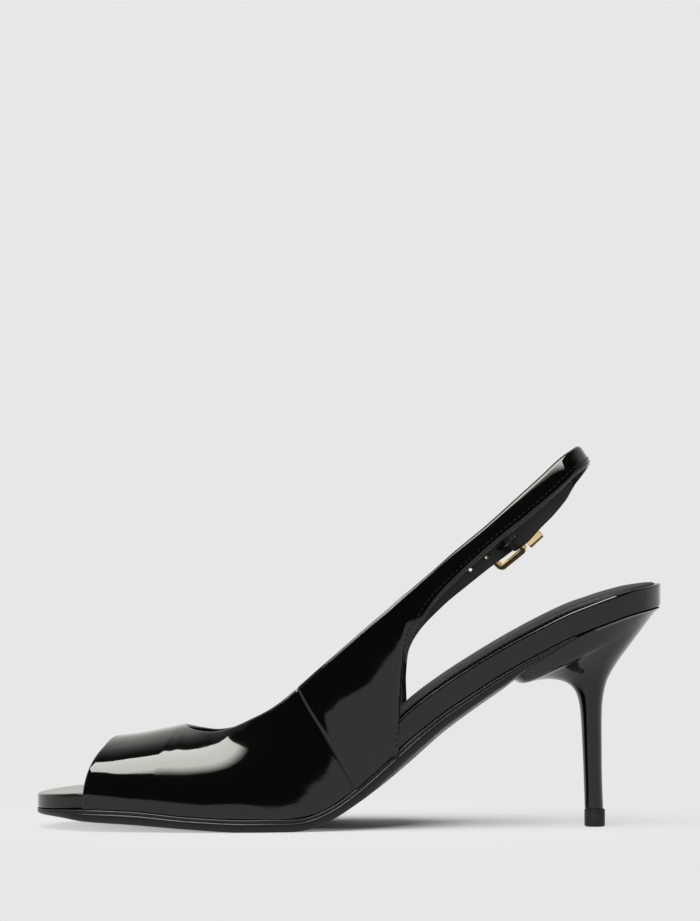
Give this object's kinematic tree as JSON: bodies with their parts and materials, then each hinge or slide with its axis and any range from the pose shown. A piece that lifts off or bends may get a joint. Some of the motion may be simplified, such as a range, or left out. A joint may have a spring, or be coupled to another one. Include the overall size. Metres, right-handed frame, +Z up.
{
  "type": "slingback sandal",
  "caption": "Patent open-toe slingback sandal on a slim high heel, with a sling strap, a small frame buckle and a keeper on the outer side.",
  "frame": {"origin": "on the floor, under the middle of the flat tread below the ball of the foot", "axes": "+X from the toe to the heel, +Y to the outer side of the foot, +Z up"},
  "size_m": [0.2248, 0.0775, 0.1372],
  "materials": {
    "patent": "black patent, mirror gloss",
    "sole": "black, satin",
    "lining": "dull black lining",
    "heel_cover": "black patent wrap over a hard heel",
    "rubber": "black, matt",
    "gold": "polished pale gold plating"
  },
  "bodies": {
    "root": {"outsole": "sole", "footbed": "patent", "sock": "lining", "upper": "patent", "heel": "heel_cover", "top_piece": "rubber", "buckle_frame": "gold", "buckle_prong": "gold", "keeper": "gold"}
  },
  "joints": []
}
